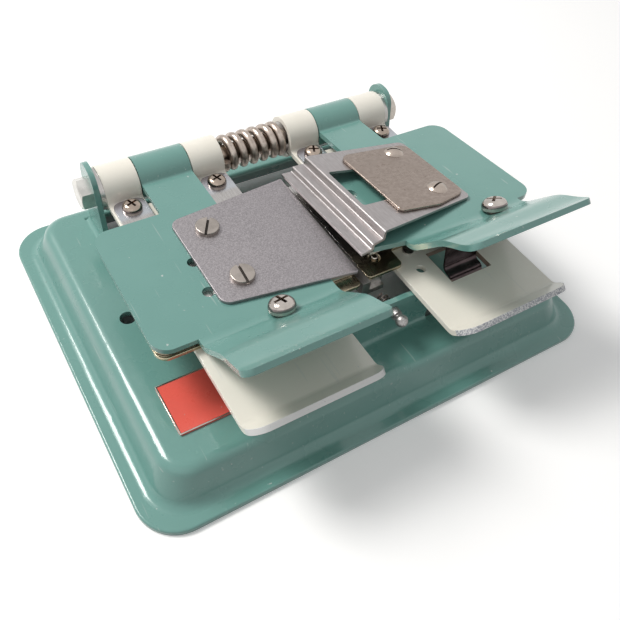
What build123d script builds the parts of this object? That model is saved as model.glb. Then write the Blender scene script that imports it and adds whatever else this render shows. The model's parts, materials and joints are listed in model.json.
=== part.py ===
from build123d import *
import math
import os

os.makedirs("parts", exist_ok=True)

# Film splicer: a tray base, a hinge across its back and two pairs of plates that clamp the film.
# X runs along the hinge, Y to the back and Z up, in mm; the origin is under the middle of the base.

# ---- Driving dimensions ----
base_length = 140.0
hinge_to_tab = 70.5  # from the hinge axis forward to the front tab's face
tray_behind_hinge, tray_before_tab = 21.0, 20.5
base_depth = tray_behind_hinge + hinge_to_tab + tray_before_tab
platform_height = 11.2
sheet = 1.5  # pressed sheet of the base and of the four enamelled plates
running_fit = 0.05  # radial play of whatever turns
loose_fit = 0.15  # radial play of screws in their holes
mech_x = 1.5  # middle of the mechanism, a little to the right of the base's middle
hinge_y, hinge_z = base_depth / 2 - tray_behind_hinge, 27.0
open_angle = 5.5  # the right upper pair stands this far open at rest
knuckle_radius = 6.3
bolt_radius = 2.5
joint_left, joint_right = 0.95, 3.5  # sides of the narrow bar between the film beds, as X
joint_gap = 0.05

# Distances "out" are along X from mech_x. In a plate's own section, d is forward from the hinge
# axis and h is up from it.
inner_out = 11.2
strip_width = 9.9
outer_out = 46.7
arm_inner_out, arm_outer_out = 21.4, 36.5
lower_top = -1.3
bed_thickness = 1.0
film_gap = 0.15
face_thickness = 0.75
bed_top = lower_top + bed_thickness
face_bottom = bed_top + film_gap
upper_bottom = face_bottom + face_thickness
upper_top = upper_bottom + sheet


def face_plane(height, lift=0.0):
    """Plane along a hinged plate, `height` above the hinge axis; local X is out, local Y is -d."""
    angle = math.radians(lift)
    leaf = Plane(
        origin=(mech_x, hinge_y, hinge_z),
        x_dir=(1, 0, 0),
        z_dir=(0, math.sin(angle), math.cos(angle)),
    )
    return leaf.offset(height)


def section_plane(out, lift=0.0):
    """Plane across a hinged plate at `out` from mech_x: local X is d, local Y is h; faces -X."""
    angle = math.radians(lift)
    return Plane(
        origin=(mech_x + out, hinge_y, hinge_z),
        x_dir=(0, -math.cos(angle), math.sin(angle)),
        z_dir=(-1, 0, 0),
    )


def outline(plane, corners):
    """Closed flat shape through corners given as (x, y) or (x, y, rounding radius)."""
    with BuildSketch(plane) as shape:
        with BuildLine():
            Polyline(*[corner[:2] for corner in corners], close=True)
        make_face()
        for corner in corners:
            if len(corner) > 2:
                fillet(shape.vertices().sort_by_distance(corner[:2])[0], radius=corner[2])
    return shape.sketch


def plate_outline(plane, side, corners):
    """Outline on a face plane through (out, d) corners, for the left (-1) or the right (1) side."""
    return outline(plane, [(side * corner[0], -corner[1], *corner[2:]) for corner in corners])


def holes(plane, side, places, radius):
    """Round holes at (out, d) places on a face plane."""
    with BuildSketch(plane) as shape:
        with Locations(*[(side * out, -d) for out, d in places]):
            Circle(radius)
    return shape.sketch


def ribbon(plane, start, heading, pieces, thickness):
    """Section of bent sheet. Its upper face leaves `start` at `heading` degrees and follows the
    pieces: a straight length, or (radius, rise) for a bend of that face by `rise` degrees."""
    upper = [(Vector(*start), heading)]
    bends = []
    for piece in pieces:
        point, angle = upper[-1]
        ahead = Vector(math.cos(math.radians(angle)), math.sin(math.radians(angle)))
        if isinstance(piece, tuple):
            radius, rise = piece
            centre_way = 1 if rise > 0 else -1
            centre = point + Vector(-ahead.Y, ahead.X) * centre_way * radius
            bends.append((centre, centre_way * radius, angle, rise))
            turned = math.radians(angle + rise)
            foot = Vector(math.sin(turned), -math.cos(turned)) * centre_way * radius
            upper.append((centre + foot, angle + rise))
        else:
            bends.append(None)
            upper.append((point + ahead * piece, angle))

    def under(index):
        point, angle = upper[index]
        turned = math.radians(angle)
        return point + Vector(math.sin(turned), -math.cos(turned)) * thickness

    with BuildSketch(plane) as section:
        with BuildLine():
            for index, bend in enumerate(bends):
                ends = (upper[index][0], upper[index + 1][0])
                far_ends = (under(index), under(index + 1))
                if bend is None:
                    Line(*ends)
                    Line(*far_ends)
                else:
                    centre, reach, angle, rise = bend
                    middle = math.radians(angle + rise / 2)
                    spoke = Vector(math.sin(middle), -math.cos(middle))
                    ThreePointArc(ends[0], centre + spoke * reach, ends[1])
                    ThreePointArc(far_ends[0], centre + spoke * (reach + thickness), far_ends[1])
            Line(upper[0][0], under(0))
            Line(upper[-1][0], under(len(bends)))
        make_face()
    return section.sketch


curl_bore = knuckle_radius - sheet
curl_ease = 1.0
curl_slit = 0.5


def curl_section(plane, top, reach):
    """Section of a sheet whose end is curled into a hinge knuckle: the flat, its upper face at
    `top`, starts in the knuckle's wall, and the curl's end stops just short of its underside."""
    with BuildSketch(plane) as section:
        Circle(knuckle_radius)
        Circle(curl_bore, mode=Mode.SUBTRACT)
        start = curl_bore + 0.2
        with Locations((start, top)):
            Rectangle(reach - start, sheet, align=(Align.MIN, Align.MAX))
        crease = (math.sqrt(knuckle_radius**2 - top**2), top)
        fillet(section.vertices().sort_by_distance(crease)[0], radius=curl_ease)
        with Locations((start - 1.6, top - sheet)):
            Rectangle(3.4, curl_slit, align=(Align.MIN, Align.MAX), mode=Mode.SUBTRACT)
    return section.sketch


# ---- Base tray ----
flange_corner = 10.7
wall_foot_inset, wall_brow_inset = 4.8, 8.6
wall_foot_corner, wall_brow_corner = 8.5, 7.5
foot_round, brow_round = 3.0, 3.4
wall_run = sheet * 1.12  # the sheet's thickness measured level, across the sloping wall

ear_inner_out = outer_out + 1.3
ear_top = hinge_z + 8.0
ear_front, ear_back = hinge_y - 7.1, hinge_y + 7.1
ear_front_slant, ear_back_slant = 3.0, 1.4
ear_corner = 4.8

window_out = 23.5
window_front, window_back = hinge_y - hinge_to_tab, ear_front
crossbar_back = base_depth / 2 - 13.5
bend_round = 1.5
relief = 0.2

tab_front = window_front
tab_half_width = 18.0
tab_corner = 9.0
tab_top = hinge_z + lower_top - sheet

mount_hole_radius = 2.15
mount_hole_out, mount_hole_y = base_length / 2 - 16.2, 1.0

adjuster_x, adjuster_z = 6.6, 20.9
adjuster_radius = 0.9


def tray_section(inset, corner, height):
    """Rounded rectangle `inset` from the flange's edge, at a height."""
    with BuildSketch(Plane.XY.offset(height)) as shape:
        RectangleRounded(base_length - 2 * inset, base_depth - 2 * inset, corner)
    return shape.sketch


def bent_tab(plane, width, height):
    """Sheet bent up from a level one: on `plane` the foot lies to +X and the leg's back is X 0."""
    centre = Vector(sheet + bend_round, bend_round)
    slant = math.sqrt(0.5)
    with BuildSketch(plane) as section:
        with BuildLine():
            Line((0, height), (sheet, height))
            Line((sheet, height), (sheet, bend_round))
            ThreePointArc(
                (sheet, bend_round),
                centre - Vector(slant, slant) * bend_round,
                (centre.X, 0),
            )
            Line((centre.X, 0), (centre.X + 0.4, 0))
            Line((centre.X + 0.4, 0), (centre.X + 0.4, -sheet))
            Line((centre.X + 0.4, -sheet), (centre.X, -sheet))
            ThreePointArc(
                (centre.X, -sheet),
                centre - Vector(slant, slant) * (bend_round + sheet),
                (0, bend_round),
            )
            Line((0, bend_round), (0, height))
        make_face()
    return extrude(section.sketch, amount=width / 2, both=True, mode=Mode.PRIVATE)


with BuildPart() as tray_hollow:
    loft([tray_section(wall_foot_inset + wall_run - 0.6, wall_foot_corner - 1.0, 0.0),
          tray_section(wall_brow_inset + wall_run, wall_brow_corner - 1.0, platform_height - sheet)],
         ruled=True)
    ceiling = tray_hollow.faces().sort_by(Axis.Z)[-1]
    fillet(ceiling.outer_wire().edges(), radius=brow_round - sheet + 0.4)

with BuildPart() as ear:
    ear_middle_y = (ear_front + ear_back) / 2
    add(bent_tab(
        Plane(origin=(mech_x + ear_inner_out, ear_middle_y, platform_height),
              x_dir=(1, 0, 0), z_dir=(0, -1, 0)),
        ear_back - ear_front, ear_top - platform_height))
    ear_foot = platform_height + 2
    ear_face = outline(
        Plane.YZ.offset(mech_x + ear_inner_out - 1),
        [(ear_front, 0), (ear_back, 0), (ear_back, ear_foot),
         (ear_back - ear_back_slant, ear_top, ear_corner),
         (ear_front + ear_front_slant, ear_top, ear_corner), (ear_front, ear_foot)])
    extrude(ear_face, amount=10, mode=Mode.INTERSECT)
    with BuildSketch(Plane.YZ.offset(mech_x + ear_inner_out - 1)) as ear_bore:
        with Locations((hinge_y, hinge_z)):
            Circle(bolt_radius + loose_fit)
    extrude(amount=10, mode=Mode.SUBTRACT)

with BuildPart() as front_tab:
    add(bent_tab(
        Plane(origin=(mech_x, tab_front + sheet, platform_height),
              x_dir=(0, -1, 0), z_dir=(-1, 0, 0)),
        2 * tab_half_width, tab_top - platform_height))
    tab_face = outline(
        Plane.XZ.offset(-tab_front - 5),
        [(mech_x - tab_half_width, 0), (mech_x + tab_half_width, 0),
         (mech_x + tab_half_width, tab_top, tab_corner),
         (mech_x - tab_half_width, tab_top, tab_corner)])
    extrude(tab_face, amount=12, mode=Mode.INTERSECT)
    with BuildSketch(Plane.XZ.offset(-tab_front - 5)) as adjuster_bore:
        with Locations((adjuster_x, adjuster_z)):
            Circle(adjuster_radius + running_fit)
    extrude(amount=12, mode=Mode.SUBTRACT)

with BuildPart() as base_pan:
    extrude(tray_section(0, flange_corner, 0), amount=sheet)
    flange_rim = base_pan.faces().sort_by(Axis.Z)[-1].outer_wire().edges()
    fillet(flange_rim, radius=0.6)
    loft([tray_section(wall_foot_inset, wall_foot_corner, sheet),
          tray_section(wall_brow_inset, wall_brow_corner, platform_height)], ruled=True)
    flange_top = base_pan.faces().filter_by(Plane.XY).sort_by(Axis.Z)[1]
    fillet(flange_top.inner_wires()[0].edges(), radius=foot_round)
    fillet(base_pan.faces().sort_by(Axis.Z)[-1].outer_wire().edges(), radius=brow_round)
    add(tray_hollow.part, mode=Mode.SUBTRACT)
    # The window: a slot up the middle, a crossbar behind it, and what the ears and tab came from.
    bend_run = sheet + bend_round
    slot = outline(Plane.XY, [
        (mech_x - window_out, window_front, 2.0), (mech_x + window_out, window_front, 2.0),
        (mech_x + window_out, window_back + 1), (mech_x - window_out, window_back + 1)])
    extrude(slot, amount=20, mode=Mode.SUBTRACT)
    crossbar_out = ear_inner_out + bend_run
    crossbar = outline(Plane.XY, [
        (mech_x - crossbar_out, window_back - relief), (mech_x + crossbar_out, window_back - relief),
        (mech_x + crossbar_out, crossbar_back), (mech_x - crossbar_out, crossbar_back)])
    extrude(crossbar, amount=20, mode=Mode.SUBTRACT)
    blank_out = tab_half_width + relief
    blank = outline(Plane.XY, [
        (mech_x - blank_out, window_front - bend_round), (mech_x + blank_out, window_front - bend_round),
        (mech_x + blank_out, window_front + 1), (mech_x - blank_out, window_front + 1)])
    extrude(blank, amount=20, mode=Mode.SUBTRACT)
    rear_lip = base_pan.edges().filter_by(Axis.X).filter_by_position(
        Axis.Y, crossbar_back - 0.01, crossbar_back + 0.01).sort_by(Axis.Z)[-1]
    fillet(rear_lip, radius=1.1)
    add(ear.part)
    add(mirror(ear.part, about=Plane.YZ.offset(mech_x), mode=Mode.PRIVATE))
    add(front_tab.part)
    with BuildSketch(Plane.XY) as mount_holes:
        with Locations((mech_x - mount_hole_out, mount_hole_y), (mech_x + mount_hole_out, mount_hole_y)):
            Circle(mount_hole_radius)
    extrude(amount=20, mode=Mode.SUBTRACT)
base_pan.part.label = "base_pan"
export_step(base_pan.part, "parts/base_pan.step")

# ---- Nameplate: bare, on the tray to the left of the window ----
nameplate_left, nameplate_right = 15.2 - base_length / 2, -23.6
nameplate_front, nameplate_back = tab_front - 2.7, tab_front + 12.5
nameplate_thickness = 0.5

with BuildPart() as nameplate:
    with BuildSketch(Plane.XY.offset(platform_height)) as nameplate_face:
        with Locations(((nameplate_left + nameplate_right) / 2, (nameplate_front + nameplate_back) / 2)):
            RectangleRounded(nameplate_right - nameplate_left, nameplate_back - nameplate_front, 0.8)
    extrude(amount=nameplate_thickness)
nameplate.part.label = "nameplate"
export_step(nameplate.part, "parts/nameplate.step")

# ---- Hinge: a long bolt through both ears, its nut, washers and a sleeve in each pair ----
ear_outer_out = ear_inner_out + sheet
bolt_head_flats, bolt_head_height = 8.0, 3.5
nut_height = 3.2
bolt_end = 0.6  # thread that shows past the nut
crown_slope = math.tan(math.radians(60))
axis_plane = Plane(origin=(mech_x, hinge_y, hinge_z), x_dir=(0, 1, 0), z_dir=(1, 0, 0))


def crowned_hexagon(plane, height):
    """Hexagon whose corners are turned off to 30 degrees at its outer end, which is on `plane`."""
    with BuildSketch(plane) as shape:
        RegularPolygon(bolt_head_flats / 2, 6, major_radius=False, rotation=30)
    extrude(shape.sketch, amount=height)
    with Locations(plane):
        Cone(
            bottom_radius=bolt_head_flats / 2 - 0.2,
            top_radius=bolt_head_flats / 2 - 0.2 + height * crown_slope,
            height=height,
            align=(Align.CENTER, Align.CENTER, Align.MIN),
            mode=Mode.INTERSECT,
        )


with BuildPart() as hinge_bolt:
    crowned_hexagon(axis_plane.offset(-ear_outer_out - bolt_head_height), bolt_head_height)
    with BuildSketch(axis_plane.offset(-ear_outer_out)) as shank_round:
        Circle(bolt_radius)
    extrude(amount=2 * ear_outer_out + nut_height + bolt_end)
    chamfer(hinge_bolt.faces().sort_by(Axis.X)[-1].edges(), length=0.4)
hinge_bolt.part.label = "hinge_bolt"
export_step(hinge_bolt.part, "parts/hinge_bolt.step")

with BuildPart() as hinge_nut:
    nut_end = axis_plane.offset(ear_outer_out + nut_height)
    crowned_hexagon(Plane(origin=nut_end.origin, x_dir=(0, 1, 0), z_dir=(-1, 0, 0)), nut_height)
    with BuildSketch(axis_plane.offset(ear_outer_out)) as nut_thread:
        Circle(bolt_radius + running_fit)
    extrude(amount=nut_height, mode=Mode.SUBTRACT)
hinge_nut.part.label = "hinge_nut"
export_step(hinge_nut.part, "parts/hinge_nut.step")

washer_radius, washer_thickness = 5.9, 0.6
washer_gap = 0.03

with BuildPart() as ear_washers:
    for way in (-1, 1):
        for index in range(2):
            face_out = ear_inner_out - washer_gap - index * (washer_thickness + washer_gap)
            middle_out = way * (face_out - washer_thickness / 2)
            with BuildSketch(axis_plane.offset(middle_out)) as washer_face:
                Circle(washer_radius)
                Circle(bolt_radius + loose_fit, mode=Mode.SUBTRACT)
            extrude(amount=washer_thickness / 2, both=True)
ear_washers.part.label = "ear_washers"
export_step(ear_washers.part, "parts/ear_washers.step")

sleeve_radius = curl_bore - running_fit
sleeve_length = outer_out - inner_out

with BuildPart() as left_hinge_sleeve:
    with BuildSketch(axis_plane.offset(-outer_out)) as left_sleeve_face:
        Circle(sleeve_radius)
        Circle(bolt_radius + running_fit, mode=Mode.SUBTRACT)
    extrude(amount=sleeve_length)
left_hinge_sleeve.part.label = "left_hinge_sleeve"
export_step(left_hinge_sleeve.part, "parts/left_hinge_sleeve.step")

with BuildPart() as right_hinge_sleeve:
    with BuildSketch(axis_plane.offset(inner_out)) as right_sleeve_face:
        Circle(sleeve_radius)
        Circle(bolt_radius + running_fit, mode=Mode.SUBTRACT)
    extrude(amount=sleeve_length)
right_hinge_sleeve.part.label = "right_hinge_sleeve"
export_step(right_hinge_sleeve.part, "parts/right_hinge_sleeve.step")

# ---- Coils: each one tube along a route of arcs ----
coil_step = 90  # degrees of turn in each arc of a coil's route


def coil_route(plane, radius, pitches, start_angle=0.0):
    """Edges of a coil about the plane's normal: one pitch for each quarter turn, in order."""
    def place(turned, along):
        angle = math.radians(start_angle + turned)
        return plane.from_local_coords(
            Vector(radius * math.cos(angle), radius * math.sin(angle), along))

    edges, along = [], 0.0
    for index, pitch in enumerate(pitches):
        rise = pitch * coil_step / 360
        first = index * coil_step
        edges.append(Edge.make_three_point_arc(
            place(first, along),
            place(first + coil_step / 2, along + rise / 2),
            place(first + coil_step, along + rise)))
        along += rise
    return edges


def least_gap(edges, wire_radius, skip):
    """Least distance between a coil's surface and itself, on points that are over a turn apart."""
    points = [edge.position_at(step / 8) for edge in edges for step in range(8)]
    least = min(
        (points[a] - points[b]).length
        for a in range(len(points)) for b in range(a + skip, len(points)))
    return least - 2 * wire_radius


hinge_wire = 1.1
hinge_coil_radius = 5.5 - hinge_wire
end_pitch = 2.75
end_quarters = 3
active_quarters = 20
spring_room = 2 * inner_out - 2 * hinge_wire - 0.5
active_pitch = (spring_room - 2 * end_quarters * end_pitch / 4) * 4 / active_quarters
hinge_pitches = [end_pitch] * end_quarters + [active_pitch] * active_quarters + [end_pitch] * end_quarters

with BuildPart() as hinge_spring:
    spring_plane = axis_plane.offset(-spring_room / 2)
    hinge_coil = coil_route(spring_plane, hinge_coil_radius, hinge_pitches, 50)
    hinge_route = Wire(hinge_coil)
    with BuildSketch(Plane(origin=hinge_route @ 0, z_dir=hinge_route % 0)) as hinge_wire_face:
        Circle(hinge_wire)
    sweep(hinge_wire_face.sketch, path=hinge_route)
hinge_spring.part.label = "hinge_spring"
export_step(hinge_spring.part, "parts/hinge_spring.step")
print("least gap of the hinge spring to itself:", round(least_gap(hinge_coil, hinge_wire, 24), 2))

# ---- Adjusting screw in the front tab, with a small coil behind the tab ----
ball_radius = 1.7
ball_y = tab_front - 3.9
adjuster_end_y = tab_front + 5.9
adjuster_wire = 0.25
adjuster_coil_radius = adjuster_radius + adjuster_wire + 0.3
adjuster_quarters = 14
adjuster_pitch = 1.0

with BuildPart() as adjusting_screw:
    with Locations((adjuster_x, ball_y, adjuster_z)):
        Sphere(ball_radius)
    with BuildSketch(Plane.XZ.offset(-adjuster_end_y)) as adjuster_shank:
        with Locations((adjuster_x, adjuster_z)):
            Circle(adjuster_radius)
    extrude(amount=adjuster_end_y - ball_y)
    with BuildSketch(Plane.XZ.offset(-tab_front + 0.1)) as adjuster_collar:
        with Locations((adjuster_x, adjuster_z)):
            Circle(1.5)
    extrude(amount=1.9)
adjusting_screw.part.label = "adjusting_screw"
export_step(adjusting_screw.part, "parts/adjusting_screw.step")

with BuildPart() as adjuster_spring:
    coil_plane = Plane(
        origin=(adjuster_x, tab_front + sheet + adjuster_wire + 0.05, adjuster_z),
        x_dir=(1, 0, 0), z_dir=(0, 1, 0))
    adjuster_coil = coil_route(coil_plane, adjuster_coil_radius, [adjuster_pitch] * adjuster_quarters, 90)
    adjuster_route = Wire(adjuster_coil)
    with BuildSketch(Plane(origin=adjuster_route @ 0, z_dir=adjuster_route % 0)) as adjuster_wire_face:
        Circle(adjuster_wire)
    sweep(adjuster_wire_face.sketch, path=adjuster_route)
adjuster_spring.part.label = "adjuster_spring"
export_step(adjuster_spring.part, "parts/adjuster_spring.step")
print("least gap of the small spring to itself:", round(least_gap(adjuster_coil, adjuster_wire, 24), 2))

# ---- Fasteners, each made once with its seat at Z 0 ----
bed_screw_radius, bed_screw_head, bed_screw_height = 1.5, 2.75, 2.0
plate_screw_radius, plate_screw_head, plate_screw_height = 1.6, 3.2, 1.3
lip_screw_radius, lip_screw_head, lip_screw_height = 2.0, 3.5, 2.7
rivet_radius, rivet_head, rivet_height = 1.0, 1.6, 0.5


def cross_recess(reach, width, depth, top):
    """Cross-shaped pit of a screw's drive, tapering down from `top`."""
    with BuildSketch(Plane.XY.offset(top)) as cross:
        Rectangle(2 * reach, width)
        Rectangle(width, 2 * reach)
    return extrude(cross.sketch, amount=-depth, taper=9, mode=Mode.PRIVATE)


def domed_screw(head, height, shank, length, corner):
    """Pan head with a large edge rounding and a cross recess, and its shank below Z 0."""
    with BuildPart() as screw:
        with BuildSketch() as head_round:
            Circle(head)
        extrude(amount=height)
        fillet(screw.faces().sort_by(Axis.Z)[-1].edges(), radius=corner)
        add(cross_recess(head * 0.58, head * 0.24, height * 0.7, height), mode=Mode.SUBTRACT)
        with BuildSketch() as shank_face:
            Circle(shank)
        extrude(amount=-length)
    return screw.part


def slotted_screw(head, height, shank, length):
    """Flat head with a softened rim and a slot, and its shank below Z 0."""
    with BuildPart() as screw:
        with BuildSketch() as head_round:
            Circle(head)
        extrude(amount=height)
        fillet(screw.faces().sort_by(Axis.Z)[-1].edges(), radius=0.35)
        with Locations((0, 0, height)):
            Box(2 * head + 1, 0.7, 1.5 * height, mode=Mode.SUBTRACT)
        with BuildSketch() as shank_face:
            Circle(shank)
        extrude(amount=-length)
    return screw.part


bed_screw = domed_screw(bed_screw_head, bed_screw_height, bed_screw_radius, bed_thickness + sheet + 1.0, 1.5)
lip_screw = domed_screw(lip_screw_head, lip_screw_height, lip_screw_radius, 3.9, 2.0)

# ---- Lower plates: enamelled, curled into two knuckles each, the front edge turned up ----
notch_front_d = 10.1
flange_bend_d = hinge_to_tab + 13.9
flange_bend = 2.0
flange_angle = 45.0
flange_length = 5.5
lower_corner = 4.5
latch_near_d, latch_far_d = hinge_to_tab - 9.3, hinge_to_tab + 1.9
latch_hole = [
    (22.0, latch_near_d, 1.0), (35.5, latch_near_d, 1.0),
    (35.5, latch_far_d, 1.0), (22.0, latch_far_d, 1.0)]
small_hole_radius = 1.35
small_hole_place = (17.3, hinge_to_tab - 5.6)
rivet_place = (18.2, hinge_to_tab - 12.7)
bed_screw_places = [(41.6, 11.2), (16.2, 11.2)]


def lower_plate(side):
    """One lower plate: two knuckle strips, the flat and the turned-up front with its corners."""
    strips = ((inner_out, inner_out + strip_width), (outer_out - strip_width, outer_out))
    for near, far in strips:
        strip = curl_section(section_plane(side * (near + far) / 2), lower_top, notch_front_d + 1)
        extrude(strip, amount=(far - near) / 2, both=True)
    flat = ribbon(
        section_plane(side * (inner_out + outer_out) / 2), (notch_front_d, lower_top), 0,
        [flange_bend_d - notch_front_d, (flange_bend, flange_angle), flange_length], sheet)
    body = extrude(flat, amount=(outer_out - inner_out) / 2, both=True)
    tip = body.faces().sort_by(Axis.Y)[0]
    fillet([edge for edge in tip.edges() if abs(edge.length - sheet) < 0.01], radius=lower_corner)
    drop = face_plane(lower_top)
    cut = plate_outline(drop, side, latch_hole)
    extrude(cut, amount=-sheet - 1, both=True, mode=Mode.SUBTRACT)
    for places, radius in (
        ([small_hole_place], small_hole_radius),
        ([rivet_place], rivet_radius + running_fit),
        (bed_screw_places, bed_screw_radius + running_fit),
    ):
        extrude(holes(drop, side, places, radius), amount=-sheet, mode=Mode.SUBTRACT)


with BuildPart() as lower_left_plate:
    lower_plate(-1)
lower_left_plate.part.label = "lower_left_plate"
export_step(lower_left_plate.part, "parts/lower_left_plate.step")

with BuildPart() as lower_right_plate:
    lower_plate(1)
lower_right_plate.part.label = "lower_right_plate"
export_step(lower_right_plate.part, "parts/lower_right_plate.step")

# ---- Film beds: steel sheet screwed on the lower plates ----
bed_outer_out = 55.5
bed_back_d, bed_front_d = 21.5, hinge_to_tab - 8.3
bed_notch_d = bed_front_d - 6.2
bed_tab_d = 7.3
bed_tabs = ((11.7, 20.4), (37.2, 46.2))
bed_lug_out, bed_notch_out = 13.4, 38.0


def bed_corners(inner, lug_d):
    """Outline of a film bed whose edge at the joint is `inner` from mech_x, its lug out to `lug_d`."""
    (tab_a, tab_b), (tab_c, tab_d) = bed_tabs
    return [
        (inner, bed_back_d), (tab_a, bed_back_d), (tab_a, bed_tab_d, 2.5), (tab_b, bed_tab_d, 2.5),
        (tab_b, bed_back_d, 1.0), (tab_c, bed_back_d, 1.0), (tab_c, bed_tab_d, 2.5),
        (tab_d, bed_tab_d, 2.5), (tab_d, bed_back_d), (bed_outer_out, bed_back_d, 3.0),
        (bed_outer_out, bed_front_d, 3.0), (bed_notch_out, bed_front_d, 2.0),
        (bed_notch_out, bed_notch_d, 1.0), (bed_lug_out, bed_notch_d, 1.0),
        (bed_lug_out, lug_d, 1.5), (inner, lug_d, 1.5)]


film_pin_radius = 0.95
film_pin_height = 0.55
film_pin_d = bed_front_d - 5.7
right_pin_out = 7.7
left_pin_out = 7.05
pin_dish_radius = 1.75


def film_bed(side, inner, lug_d, pin_out):
    """One film bed with its screw holes and a dished hole for the film pin."""
    level = face_plane(lower_top)
    extrude(plate_outline(level, side, bed_corners(inner, lug_d)), amount=bed_thickness)
    extrude(holes(level, side, bed_screw_places, bed_screw_radius + running_fit),
            amount=bed_thickness, mode=Mode.SUBTRACT)
    extrude(holes(level, side, [(pin_out, film_pin_d)], film_pin_radius + 0.02),
            amount=bed_thickness, mode=Mode.SUBTRACT)
    with Locations(face_plane(bed_top) * Location((side * pin_out, -film_pin_d))):
        Cone(
            bottom_radius=film_pin_radius,
            top_radius=pin_dish_radius,
            height=pin_dish_radius - film_pin_radius,
            align=(Align.CENTER, Align.CENTER, Align.MAX),
            mode=Mode.SUBTRACT,
        )


with BuildPart() as left_film_bed:
    film_bed(-1, mech_x - joint_left + joint_gap, bed_front_d + 1.0, left_pin_out)
left_film_bed.part.label = "left_film_bed"
export_step(left_film_bed.part, "parts/left_film_bed.step")

with BuildPart() as right_film_bed:
    film_bed(1, joint_right - mech_x, bed_front_d, right_pin_out)
right_film_bed.part.label = "right_film_bed"
export_step(right_film_bed.part, "parts/right_film_bed.step")


def film_pin(side, out):
    """Round-topped pin that holds the film by a perforation."""
    pin = extrude(holes(face_plane(lower_top), side, [(out, film_pin_d)], film_pin_radius),
                  amount=bed_thickness + film_pin_height)
    fillet(pin.faces().sort_by(Axis.Z)[-1].edges(), radius=0.4)


with BuildPart() as left_film_pin:
    film_pin(-1, left_pin_out)
left_film_pin.part.label = "left_film_pin"
export_step(left_film_pin.part, "parts/left_film_pin.step")

with BuildPart() as right_film_pin:
    film_pin(1, right_pin_out)
right_film_pin.part.label = "right_film_pin"
export_step(right_film_pin.part, "parts/right_film_pin.step")

with BuildPart() as bed_screws_left:
    with Locations(*[face_plane(bed_top) * Location((-out, -d)) for out, d in bed_screw_places]):
        add(bed_screw, rotation=(0, 0, 20))
bed_screws_left.part.label = "left_bed_screws"
export_step(bed_screws_left.part, "parts/left_bed_screws.step")

with BuildPart() as bed_screws_right:
    with Locations(*[face_plane(bed_top) * Location((out, -d)) for out, d in bed_screw_places]):
        add(bed_screw, rotation=(0, 0, 65))
bed_screws_right.part.label = "right_bed_screws"
export_step(bed_screws_right.part, "parts/right_bed_screws.step")


def rivet(side):
    """Rivet through a lower plate: a low head on top and a flat one below."""
    top = face_plane(lower_top)
    extrude(holes(top, side, [rivet_place], rivet_head), amount=rivet_height)
    extrude(holes(top, side, [rivet_place], rivet_radius), amount=-sheet)
    extrude(holes(face_plane(lower_top - sheet), side, [rivet_place], rivet_head), amount=-rivet_height)


with BuildPart() as left_plate_rivet:
    rivet(-1)
left_plate_rivet.part.label = "left_plate_rivet"
export_step(left_plate_rivet.part, "parts/left_plate_rivet.step")

with BuildPart() as right_plate_rivet:
    rivet(1)
right_plate_rivet.part.label = "right_plate_rivet"
export_step(right_plate_rivet.part, "parts/right_plate_rivet.step")

# ---- The joint: a narrow bar between the beds, on the angle that carries it ----
blade_right_x, blade_bottom_z = 8.0, 23.7
bar_flange = 1.5
bar_front_d, bar_back_d = bed_front_d + 1.3, bed_back_d + 0.2
bed_under_z = hinge_z + lower_top
bed_top_z = hinge_z + bed_top
bar_side_x = joint_right - joint_gap

with BuildPart() as joint_bar:
    bar_face = outline(Plane.XZ.offset(bar_back_d - hinge_y), [
        (joint_left, blade_bottom_z - bar_flange, 0.6), (blade_right_x, blade_bottom_z - bar_flange),
        (blade_right_x, blade_bottom_z), (bar_side_x, blade_bottom_z), (bar_side_x, bed_top_z),
        (joint_left, bed_top_z)])
    extrude(bar_face, amount=bar_front_d - bar_back_d)
joint_bar.part.label = "joint_bar"
export_step(joint_bar.part, "parts/joint_bar.step")

with BuildPart() as right_shear_blade:
    blade_face = outline(Plane.XZ.offset(bar_back_d - hinge_y), [
        (joint_right, blade_bottom_z), (blade_right_x, blade_bottom_z),
        (blade_right_x, bed_under_z), (joint_right, bed_under_z)])
    extrude(blade_face, amount=bed_front_d - bar_back_d)
right_shear_blade.part.label = "right_shear_blade"
export_step(right_shear_blade.part, "parts/right_shear_blade.step")

# ---- Upper plates: enamelled, curled into one knuckle each, the front formed into a lifting lip ----
upper_back_d, upper_front_d = 19.0, hinge_to_tab - 8.5
upper_inner_back_d = 22.5
upper_corner = 4.5
lip_start_d = upper_front_d
lip_overlap = 4.0  # of the lip's own flat part with the plate, where they are one sheet
lip_join_d = lip_start_d - lip_overlap
lip_pieces = [lip_overlap, (6.0, 42), 8.2, (18, -17), 2.6, (22, 15)]
lip_corner = 2.6
lip_inner_left, lip_outer_left = 8.3, 45.7
lip_inner_right, lip_outer_right = 12.7, 51.3
lip_tilt = 20.0
lip_seat_d = lip_start_d + 2.1
lip_seat_lift = 1.4
lip_screw_out_left, lip_screw_out_right = 24.6, 41.0
plate_inner_left, plate_inner_right = 1.2, 3.9
face_inner_right = 3.0


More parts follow.
